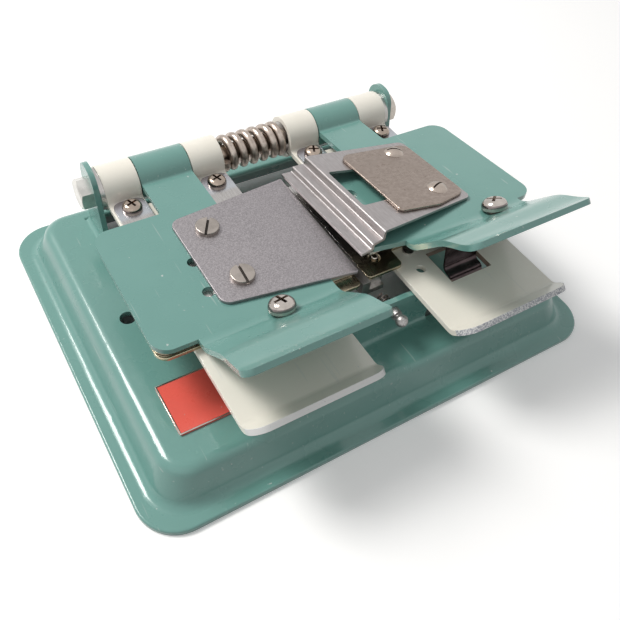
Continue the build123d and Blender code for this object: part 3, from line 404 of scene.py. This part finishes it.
def shank_coil_shade(sheet, place, base):
    """Hinge bolt: painted shade, a darker brown, where the coil goes round it."""
    left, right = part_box("left_hinge_sleeve")[1].x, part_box("right_hinge_sleeve")[0].x
    fade = 0.4 * MM
    between = sheet.near(sheet.axes(place)["X"], (left + right) / 2, (right - left) / 2, fade)
    # Painted shade: the shank between the sleeves is darkened to brown.
    return sheet.blend(between, base, SHADE_UNDER_COIL)


def facing(node):
    """Way that the largest upward flat face of a node looks."""
    areas = {}
    for face in nodes[node].data.polygons:
        look = tuple(round(part, 3) for part in face.normal)
        upward = look[2] > 0.5
        if upward:
            areas[look] = areas.get(look, 0.0) + face.area
    return Vector(max(areas, key=areas.get)).normalized()


def screw_tops(node):
    """Middle of the head's top of each screw in a node, and the way that they all point.

    A node holds one screw, or two that lie side by side along X or Y.
    """
    way = facing(node)
    points = [vertex.co for vertex in nodes[node].data.vertices]
    low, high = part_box(node)
    axis = 0 if high.x - low.x > high.y - low.y else 1
    middle = (low[axis] + high[axis]) / 2
    widest_screw, head_top = 12.0 * MM, 1.0 * MM
    if high[axis] - low[axis] > widest_screw:
        screws = [[p for p in points if p[axis] < middle], [p for p in points if p[axis] >= middle]]
    else:
        screws = [points]
    across = way.cross(Vector((1, 0, 0))).normalized()
    beside = across.cross(way)
    tops = []
    for screw in screws:
        level = max(p.dot(way) for p in screw)
        head = [p for p in screw if p.dot(way) > level - head_top]
        middles = []
        for side in (beside, across):
            reach = [p.dot(side) for p in head]
            middles.append(side * ((max(reach) + min(reach)) / 2))
        tops.append(middles[0] + middles[1] + way * level)
    return tops, way


def plating(name, colour, rough, screws=None, pit_radius=0.0, pit_depth=0.0, pit_shade=0.9,
            pit_shade_colour=SHADE_IN_PITS, side_depth=0.0, tint=None):
    """Nickel plating on turned screws: bright and hazy, with painted shade in the drive and a
    painted dark reflection round the side.

    screws names the node of the screws; both depths are measured down from their heads' tops.
    """
    material, sheet, place, shader = new_material(name)
    side_reach, side_band = 6.0 * MM, 0.8 * MM
    haze = sheet.noise(place, scale=900.0)
    tone = sheet.group(patches, Vector=place, Scale=300.0)["Value"]
    base = sheet.blend(sheet.math("MULTIPLY", tone, 0.6), colour, tuple(c * 0.6 for c in colour))
    grime_and_pit_shade = sheet.group(specks, Vector=place, Scale=1400.0, Amount=0.2)["Mask"]
    tops, way = screw_tops(screws) if screws else ((), None)

    def below(top, radius, depth):
        """1 where the surface lies deeper under a head's top than the depth, within the radius."""
        return sheet.group(pit, Vector=place, Top=top, Axis=way, Radius=radius, Depth=depth)["Mask"]

    for top in tops:
        # Painted shade: the slot or recess of each screw is darkened.
        drive = below(top, pit_radius, pit_depth)
        grime_and_pit_shade = sheet.math("MAXIMUM", grime_and_pit_shade, sheet.math("MULTIPLY", drive, pit_shade))
        if side_depth:
            # Painted reflection: a dark band round the side of each head, below its top.
            band = sheet.math("SUBTRACT", below(top, side_reach, side_depth),
                              below(top, side_reach, side_depth + side_band))
            base = sheet.blend(sheet.math("MULTIPLY", band, 0.75), base, DARK_SIDE_REFLECTION)
    # Grime specks and the painted shade of the drives darken the colour together.
    base = sheet.blend(sheet.math("MULTIPLY", grime_and_pit_shade, 0.85), base, pit_shade_colour)
    if tint is not None:
        base = tint(sheet, place, base)
    sheet.feed(shader, "Base Color", base)
    sheet.feed(shader, "Metallic", sheet.math("SUBTRACT", 1.0, sheet.math("MULTIPLY", grime_and_pit_shade, 0.7)))
    uneven = sheet.math("ADD", sheet.math("MULTIPLY", haze, 0.14), rough - 0.05)
    sheet.feed(shader, "Roughness", sheet.math("ADD", uneven, sheet.math("MULTIPLY", grime_and_pit_shade, 0.4)))
    raise_grain(sheet, shader, haze, strength=0.12, distance=0.03 * MM)
    return material


def nameplate_finish():
    """Red lacquer, a little uneven, with a few chips that show the metal under it."""
    material, sheet, place, shader = new_material("red_lacquer_plate")
    tone = sheet.group(patches, Vector=place, Scale=160.0)["Value"]
    red = sheet.blend(sheet.math("MULTIPLY", tone, 0.5), RED, RED_SHADE)
    chips = sheet.group(specks, Vector=place, Scale=650.0, Amount=0.2)["Mask"]
    chipped = sheet.blend(sheet.math("MULTIPLY", chips, 0.7), red, PLATE_METAL)
    sheet.feed(shader, "Base Color", chipped)
    sheet.feed(shader, "Metallic", sheet.math("MULTIPLY", chips, 0.6))
    sheet.feed(shader, "Roughness", sheet.spread(tone, 0.0, 1.0, 0.26, 0.38))
    fine = sheet.noise(place, scale=500.0)
    raise_grain(sheet, shader, fine, strength=0.2, distance=0.05 * MM)
    return material


# Each set says how wide and deep a screw's drive is, and how strongly it is darkened there as
# painted shade.
bed_screws = {"pit_radius": 1.7 * MM, "pit_depth": 0.7 * MM, "pit_shade": 0.8,
              "pit_shade_colour": (0.12, 0.075, 0.055), "side_depth": 0.9 * MM}
lip_screws = {"pit_radius": 2.1 * MM, "pit_depth": 1.0 * MM, "pit_shade": 0.8,
              "pit_shade_colour": (0.15, 0.085, 0.065), "side_depth": 1.1 * MM}
plate_screws = {"pit_radius": 3.0 * MM, "pit_depth": 0.3 * MM, "pit_shade": 0.95}
domed_screws = {"pit_radius": 1.9 * MM, "pit_depth": 0.6 * MM, "pit_shade": 1.0}

finishes = {
    "base_pan": enamel("green_enamel_tray", GREEN, GREEN_SHADE, gloss=0.22, chips=0.03),
    "upper_left_plate": enamel("green_enamel_plates", GREEN, GREEN_SHADE, gloss=0.2, chips=0.04),
    "lower_left_plate": enamel("cream_enamel_left", CREAM, CREAM_SHADE, gloss=0.3, chips=0.03,
                               mark=cream_marks("lower_left_plate", rim_wear=-0.03)),
    "lower_right_plate": enamel("cream_enamel_right", CREAM, CREAM_SHADE, gloss=0.3, chips=0.03,
                                mark=cream_marks("lower_right_plate", rim_wear=0.16)),
    "left_clamp_face": steel("bright_steel_sheet", (0.55, 0.53, 0.51), (0.45, 0.43, 0.415),
                             rough=0.3, grain_scale=2200.0, stain=0.3),
    "left_film_bed": steel("film_bed_steel", (0.50, 0.485, 0.47), (0.40, 0.38, 0.37),
                           rough=0.26, grain_scale=2200.0, stain=0.3, tint=bed_tint),
    "joint_bar": steel("joint_bar_steel", (0.62, 0.60, 0.585), (0.40, 0.38, 0.365),
                       rough=0.32, grain_scale=1500.0, stain=0.4),
    "left_pressure_plate": steel("fine_ground_plate", (0.385, 0.362, 0.372), (0.215, 0.200, 0.208),
                                 rough=0.50, grain_scale=3300.0, stretch=(1.0, 0.8, 1.0),
                                 stain=0.12),
    "right_spring_plate": steel("ribbed_plate_steel", (0.43, 0.405, 0.405), (0.33, 0.305, 0.30),
                                rough=0.34, grain_scale=2600.0, stretch=(1.0, 0.06, 1.0),
                                stain=0.25),
    "right_backing_plate": steel("backing_plate_steel", (0.36, 0.30, 0.262), (0.26, 0.21, 0.18),
                                 rough=0.26, grain_scale=1100.0, stretch=(0.7, 1.0, 1.0), turn=0.6,
                                 stain=0.4, rust=0.16, relief=0.1),
    "hinge_spring": steel("hinge_spring_wire", (0.60, 0.53, 0.47), (0.36, 0.30, 0.26),
                          rough=0.3, grain_scale=700.0, stretch=EVEN, stain=0.5, rust=0.05,
                          relief=0.15),
    "adjuster_spring": steel("small_spring_wire", (0.26, 0.22, 0.20), (0.08, 0.065, 0.055),
                             rough=0.28, grain_scale=900.0, stretch=EVEN, stain=0.6),
    # The latch leaves are coloured almost black.
    "left_latch_spring": steel("dark_leaf_spring", (0.085, 0.065, 0.066), (0.045, 0.033, 0.035),
                               rough=0.26, grain_scale=900.0, stretch=(0.4, 1.0, 1.0), stain=0.5),
    "adjusting_screw": steel("rough_screw_steel", (0.56, 0.55, 0.54), (0.24, 0.225, 0.22),
                             rough=0.42, grain_scale=2600.0, stretch=EVEN, relief=0.7),
    "hinge_bolt": plating("hinge_bolt_plating", (0.68, 0.665, 0.63), 0.28, tint=shank_coil_shade),
    "left_film_pin": plating("film_pin_plating", (0.58, 0.53, 0.48), 0.14),
    "left_bed_screws": plating("bed_screw_plating", WARM_NICKEL, 0.16,
                               "left_bed_screws", **bed_screws),
    "right_bed_screws": plating("right_bed_screw_plating", WARM_NICKEL, 0.16,
                                "right_bed_screws", **bed_screws),
    "left_lip_screw": plating("left_lip_screw_plating", NICKEL, 0.12,
                              "left_lip_screw", **lip_screws),
    "right_lip_screw": plating("right_lip_screw_plating", NICKEL, 0.12,
                               "right_lip_screw", **lip_screws),
    "left_plate_screws": plating("left_plate_screw_nickel", DULL_NICKEL, 0.26,
                                 "left_plate_screws", **plate_screws),
    "right_plate_screws": plating("right_plate_screw_steel", BROWNED, 0.24,
                                  "right_plate_screws", **domed_screws),
    "nameplate": nameplate_finish(),
}

same_finish = {
    "upper_right_plate": "upper_left_plate",
    "right_clamp_face": "left_clamp_face",
    "right_film_bed": "left_film_bed",
    "right_shear_blade": "joint_bar",
    "ear_washers": "left_clamp_face",
    "left_hinge_sleeve": "left_clamp_face",
    "right_hinge_sleeve": "left_clamp_face",
    "left_plate_rivet": "left_clamp_face",
    "right_plate_rivet": "left_clamp_face",
    "right_film_pin": "left_film_pin",
    "hinge_nut": "left_film_pin",
    "right_latch_spring": "left_latch_spring",
}


def finish_of(node):
    """Material of a node, which may be that of another node."""
    return finishes[same_finish.get(node, node)]


for node_name, node in nodes.items():
    node.data.materials.clear()
    node.data.materials.append(finish_of(node_name))


# ---- Sheet pieces with their cut edges rounded ----

def merged_copy(node, ending):
    """Copy of a node with its loose triangles merged into whole faces, active and selected."""
    piece = bpy.data.objects.new(node + ending, nodes[node].data.copy())
    bpy.context.scene.collection.objects.link(piece)
    bpy.ops.object.select_all(action="DESELECT")
    piece.select_set(True)
    bpy.context.view_layer.objects.active = piece
    bpy.ops.object.mode_set(mode="EDIT")
    bpy.ops.mesh.select_all(action="SELECT")
    bpy.ops.mesh.remove_doubles(threshold=SAME_POINT)
    bpy.ops.mesh.dissolve_limited(angle_limit=FLAT)
    bpy.ops.object.mode_set(mode="OBJECT")
    bpy.ops.mesh.customdata_custom_splitnormals_clear()
    return piece


def smooth_by_area(piece):
    """Smooth shading in which the large flat faces keep their own normals."""
    bpy.ops.object.shade_smooth_by_angle(angle=SHARP)
    weights = piece.modifiers.new("normals", "WEIGHTED_NORMAL")
    weights.keep_sharp = True
    bpy.ops.object.modifier_apply(modifier="normals")


def stand_for(piece, node):
    """The piece takes the node's place: it rides with the node's body, and the node's solid is
    hidden; its finish it has already.
    """
    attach(piece, body_of[node])
    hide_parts(node)


def rounded_sheet(node, width):
    """Copy of a pressed piece with rounded cut edges, as enamel or tumbling leaves them."""
    piece = merged_copy(node, "_rounded")
    bevel = piece.modifiers.new("rounding", "BEVEL")
    bevel.width = width
    bevel.segments = 3
    bevel.limit_method = "ANGLE"
    bevel.angle_limit = CUT_EDGE
    bevel.miter_outer = "MITER_ARC"
    bpy.ops.object.modifier_apply(modifier="rounding")
    smooth_by_area(piece)
    stand_for(piece, node)


edge_roundings = {  # in millimetres
    "upper_left_plate": 0.35, "upper_right_plate": 0.35, "lower_left_plate": 0.3,
    "lower_right_plate": 0.3, "left_pressure_plate": 0.18, "right_spring_plate": 0.15,
    "right_backing_plate": 0.3, "left_film_bed": 0.15, "right_film_bed": 0.15,
}
for sheet_name, rounding in edge_roundings.items():
    rounded_sheet(sheet_name, rounding * MM)


# ---- Slotted screws ----

def turned_screws(node, turns):
    """Copy of a node's slotted screws, each turned from its solid by its own degrees."""
    piece = merged_copy(node, "_turned")
    tops, way = screw_tops(node)
    for vertex in piece.data.vertices:
        top, turn = min(zip(tops, turns), key=lambda pair: (vertex.co - pair[0]).length)
        vertex.co = top + Matrix.Rotation(math.radians(turn), 3, way) @ (vertex.co - top)
    smooth_by_area(piece)
    stand_for(piece, node)


turned_screws("left_plate_screws", (24.0, -14.0))


def domed_head(radius, rise, slot):
    """Low domed screw head standing on Z = 0: a ball cut down to its cap, with a slot sawn in."""
    ball = (radius ** 2 + rise ** 2) / (2 * rise)
    sunk = 0.05 * MM
    bpy.ops.object.select_all(action="DESELECT")
    bpy.ops.mesh.primitive_uv_sphere_add(segments=64, ring_count=64, radius=ball)
    head = bpy.context.object
    bpy.ops.object.mode_set(mode="EDIT")
    bpy.ops.mesh.select_all(action="SELECT")
    bpy.ops.mesh.bisect(plane_co=(0, 0, ball - rise - sunk), plane_no=(0, 0, 1),
                        use_fill=True, clear_inner=True)
    bpy.ops.object.mode_set(mode="OBJECT")
    bpy.ops.mesh.primitive_cube_add(size=1.0, location=(0, 0, ball))
    saw = bpy.context.object
    saw.scale = slot
    cut = head.modifiers.new("slot", "BOOLEAN")
    cut.object = saw
    bpy.context.view_layer.objects.active = head
    bpy.ops.object.modifier_apply(modifier="slot")
    bpy.data.objects.remove(saw)
    head.data.transform(Matrix.Translation((0, 0, rise - ball)))
    return head


def add_backing_plate_screws():
    """Two domed heads on the backing plate, in the place of its flat slotted ones."""
    node = "right_plate_screws"
    tops, way = screw_tops(node)
    solid_head = 1.3 * MM
    slot = (4.4 * MM, 0.55 * MM, 1.6 * MM)
    slot_ways = (16.7, -25.1)  # degrees from X, seen from above
    heads = []
    for top, slot_way in zip(tops, slot_ways):
        head = domed_head(radius=2.9 * MM, rise=1.25 * MM, slot=slot)
        turn = math.radians(slot_way)
        ahead = Vector((math.cos(turn), math.sin(turn), 0.0))
        ahead = (ahead - way * ahead.dot(way)).normalized()
        stand = Matrix((ahead, way.cross(ahead), way)).transposed().to_4x4()
        head.data.transform(Matrix.Translation(top - way * solid_head) @ stand)
        head.data.update()
        heads.append(head)
    bpy.ops.object.select_all(action="DESELECT")
    for head in heads:
        head.select_set(True)
    bpy.context.view_layer.objects.active = heads[0]
    bpy.ops.object.join()
    piece = heads[0]
    piece.name = "backing_plate_screws"
    piece.data.materials.clear()
    piece.data.materials.append(finish_of(node))
    smooth_by_area(piece)
    stand_for(piece, node)


add_backing_plate_screws()


# ---- Hinge spring ----

def add_hinge_spring():
    """Coil on the hinge bolt: a round face, extruded and turned by steps, closed at both ends."""
    node = "hinge_spring"
    low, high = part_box(node)
    bolt_low, bolt_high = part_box("hinge_bolt")
    axis_y, axis_z = (bolt_low.y + bolt_high.y) / 2, (bolt_low.z + bolt_high.z) / 2
    wire, outside = 1.25 * MM, 5.5 * MM
    end_pitch, open_pitch = 2.6 * MM, 3.42 * MM
    end_turns, steps_a_turn = 1.0, 32
    start_turn, step_turn = math.radians(177.0), 2 * math.pi / steps_a_turn
    room = high.x - low.x - 2 * wire
    open_turns = (room - 2 * end_turns * end_pitch) / open_pitch
    steps = round((open_turns + 2 * end_turns) * steps_a_turn)
    end_steps = end_turns * steps_a_turn
    bpy.ops.object.select_all(action="DESELECT")
    bpy.ops.mesh.primitive_circle_add(vertices=24, radius=wire, fill_type="NGON",
                                      location=(0, outside - wire, 0))
    piece = bpy.context.object
    piece.name = "hinge_spring_coil"
    bpy.ops.object.transform_apply(location=True, rotation=True, scale=True)
    piece.data.transform(Matrix.Rotation(start_turn, 4, "X"))
    bpy.ops.object.mode_set(mode="EDIT")
    bpy.ops.mesh.select_all(action="SELECT")
    for step in range(steps):
        at_end = step < end_steps or step >= steps - end_steps
        rise = (end_pitch if at_end else open_pitch) / steps_a_turn
        bpy.ops.mesh.extrude_region_move(TRANSFORM_OT_translate={"value": (rise, 0, 0)})
        bpy.ops.transform.rotate(value=-step_turn, orient_axis="X", center_override=(0, 0, 0))
    bpy.ops.mesh.select_all(action="SELECT")
    bpy.ops.mesh.normals_make_consistent(inside=False)
    bpy.ops.object.mode_set(mode="OBJECT")
    length = max(vertex.co.x for vertex in piece.data.vertices) + wire
    start_x = (low.x + high.x - length) / 2 + wire
    piece.data.transform(Matrix.Translation((start_x, axis_y, axis_z)))
    bpy.ops.object.shade_smooth_by_angle(angle=SHARP)
    piece.data.materials.append(finish_of(node))
    stand_for(piece, node)


add_hinge_spring()


# ---- Nameplate border ----

def add_nameplate_border():
    """Raised silver rim of the nameplate: a plane, inset, its middle taken out, its rim raised."""
    low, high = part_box("nameplate")
    rim, rise, lift, softness = 0.4 * MM, 0.12 * MM, 0.01 * MM, 0.05 * MM
    middle = ((low.x + high.x) / 2, (low.y + high.y) / 2, high.z + lift)
    bpy.ops.object.select_all(action="DESELECT")
    bpy.ops.mesh.primitive_plane_add(size=1.0, location=middle)
    border = bpy.context.object
    border.name = "nameplate_border"
    border.scale = (high.x - low.x, high.y - low.y, 1.0)
    bpy.ops.object.transform_apply(location=True, rotation=True, scale=True)
    bpy.ops.object.mode_set(mode="EDIT")
    bpy.ops.mesh.select_all(action="SELECT")
    bpy.ops.mesh.inset(thickness=rim, depth=0)
    bpy.ops.mesh.delete(type="FACE")
    bpy.ops.mesh.select_all(action="SELECT")
    bpy.ops.mesh.extrude_region_move(TRANSFORM_OT_translate={"value": (0, 0, rise)})
    bpy.ops.mesh.select_all(action="SELECT")
    bpy.ops.mesh.normals_make_consistent(inside=False)
    bpy.ops.object.mode_set(mode="OBJECT")
    soft = border.modifiers.new("rounding", "BEVEL")
    soft.width = softness
    soft.segments = 2
    bpy.ops.object.modifier_apply(modifier="rounding")
    bpy.ops.object.shade_smooth_by_angle(angle=SHARP)
    border.data.materials.append(finish_of("left_film_pin"))
    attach(border, body_of["nameplate"])


add_nameplate_border()


# ---- Floor, light and camera ----

def floor_finish():
    """Pale floor that shows as white, keeps the splicer's shadow and lights little from below.

    It glows more the further away it is, and not at all inside the tray's walls.
    """
    material, sheet, place, shader = new_material("studio_floor")
    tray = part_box("base_pan")[1]
    wall, fade = 8.0 * MM, 4.0 * MM
    near_at, far_at, near_glow, far_glow = 0.3, 1.6, 0.15, 0.62
    axes = sheet.axes(place)
    under = sheet.math("MULTIPLY", sheet.near(axes["X"], 0.0, tray.x - wall, fade),
                       sheet.near(axes["Y"], 0.0, tray.y - wall, fade))
    seen = sheet.seen()
    uneven = sheet.noise(place, scale=6.0, detail=3.0)
    pale = sheet.blend(uneven, (0.97, 0.97, 0.97), (0.99, 0.99, 0.99))
    sheet.feed(shader, "Base Color", sheet.blend(seen, (0.30, 0.30, 0.30), pale))
    shown = sheet.math("MULTIPLY", seen, sheet.math("SUBTRACT", 1.0, under))
    level = sheet.spread(sheet.length(place), near_at, far_at, near_glow, far_glow)
    glow = sheet.blend(sheet.math("MULTIPLY", shown, level), (0.0, 0.0, 0.0), (1.0, 1.0, 1.0))
    sheet.feed(shader, "Emission Color", glow)
    shader.inputs["Emission Strength"].default_value = 1.0
    shader.inputs["Roughness"].default_value = 0.9
    shader.inputs["Specular IOR Level"].default_value = 0.2
    return material


def add_floor():
    gap = 0.2 * MM
    bpy.ops.object.select_all(action="DESELECT")
    bpy.ops.mesh.primitive_plane_add(size=6.0, location=(0, 0, -gap))
    floor = bpy.context.object
    floor.name = "floor"
    floor.data.materials.append(floor_finish())


def add_world():
    """White where it is seen, and a soft grey light on the splicer."""
    world = bpy.data.worlds.new("studio")
    bpy.context.scene.world = world
    world.use_nodes = True
    world.node_tree.nodes.clear()
    sheet = Sheet(world.node_tree)
    soft_light, white = 0.38, 1.0
    background = sheet.add("ShaderNodeBackground", Color=(1.0, 1.0, 1.0, 1.0))
    sheet.feed(background, "Strength", sheet.spread(sheet.seen(), 0.0, 1.0, soft_light, white))
    out = sheet.add("ShaderNodeOutputWorld")
    world.node_tree.links.new(background.outputs[0], out.inputs["Surface"])


def add_lamp(name, place, side, watts, colour):
    """Square soft lamp that looks at the middle of the splicer."""
    lamp = bpy.data.lights.new(name, "AREA")
    lamp.shape = "RECTANGLE"
    lamp.size = side
    lamp.size_y = side
    lamp.energy = watts
    lamp.color = colour
    holder = bpy.data.objects.new(name, lamp)
    bpy.context.scene.collection.objects.link(holder)
    toward = Vector((0, 0, 0.02)) - Vector(place)
    holder.location = place
    holder.rotation_euler = toward.to_track_quat("-Z", "Y").to_euler()


def add_camera():
    """Camera of the photograph, as fitted to the tray's straight edges."""
    camera = bpy.data.cameras.new("camera")
    camera.sensor_width = 36.0
    camera.lens = 39.45
    camera.clip_start = 0.01
    holder = bpy.data.objects.new("camera", camera)
    bpy.context.scene.collection.objects.link(holder)
    right = Vector((0.85327, -0.51482, 0.08300))
    above = Vector((0.34684, 0.67914, 0.64690))
    behind = Vector((-0.38940, -0.52319, 0.75805))
    turn = Matrix((right, above, behind)).transposed()
    holder.matrix_world = Matrix.Translation((-0.0805, -0.1167, 0.1531)) @ turn.to_4x4()
    bpy.context.scene.camera = holder


add_floor()
add_world()
add_lamp("key", (-0.42, 0.42, 0.72), side=0.35, watts=7.0, colour=(1.0, 0.98, 0.95))
add_lamp("fill", (-0.6, -0.5, 0.6), side=0.9, watts=0.5, colour=(0.96, 0.98, 1.0))
add_camera()
bpy.context.scene.view_settings.view_transform = "Standard"
